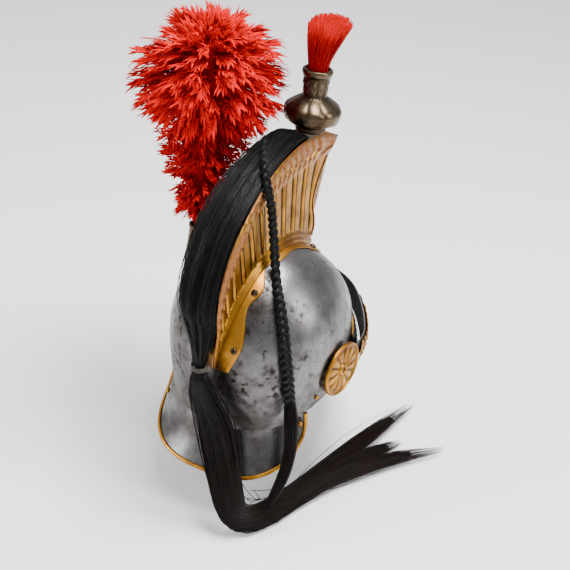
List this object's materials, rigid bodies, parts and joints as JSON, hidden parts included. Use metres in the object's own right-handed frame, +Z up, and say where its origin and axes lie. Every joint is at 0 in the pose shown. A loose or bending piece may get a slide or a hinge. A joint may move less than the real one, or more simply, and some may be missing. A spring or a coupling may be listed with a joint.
{
  "type": "crested cavalry helmet",
  "caption": "Steel cavalry helmet with a fluted brass crest, black horsehair mane and braid, red feather plume, neck guard, peak and brass chin scales.",
  "frame": {"origin": "centre of the head opening, level with the lower edge of the skull at front and back", "axes": "+Z up out of the wearer's head, -Y the way the helmet faces, +X the wearer's left"},
  "size_m": [0.3616, 0.3143, 0.4854],
  "materials": {
    "steel": "worn satin steel, with dark pits and brown stains",
    "brass": "aged golden brass, brown in its hollows",
    "dark_brass": "dark bronze-brown, half polished",
    "black_hair": "glossy black horsehair",
    "red_feather": "matte bright red feathers",
    "red_hair": "red bristles",
    "fur": "short black fur",
    "leather": "dark leather, dull",
    "cord": "waxed dark cord"
  },
  "bodies": {
    "root": {"braid": "black_hair", "braid_end": "black_hair", "brush": "red_hair", "chin_scales_left": "brass", "chin_scales_right": "brass", "chin_strap": "leather", "crest": "brass", "crest_front_plate": "brass", "crest_screw_0_left": "brass", "crest_screw_0_right": "brass", "crest_screw_1_left": "brass", "crest_screw_1_right": "brass", "crest_screw_2_left": "brass", "crest_screw_2_right": "brass", "guard_rivet_0_left": "brass", "guard_rivet_0_right": "brass", "guard_rivet_1_left": "brass", "guard_rivet_1_right": "brass", "mane": "black_hair", "mane_tail": "black_hair", "mane_tie": "cord", "neck_guard": "steel", "neck_guard_binding": "brass", "peak": "leather", "peak_binding": "brass", "plume": "red_feather", "plume_holder": "dark_brass", "rosette_left": "brass", "rosette_right": "brass", "skull": "steel", "skull_rivet_left": "brass", "skull_rivet_right": "brass", "strap_ring_left": "steel", "strap_ring_right": "steel", "tulip": "dark_brass", "turban": "fur", "turban_piping": "brass"}
  },
  "joints": []
}
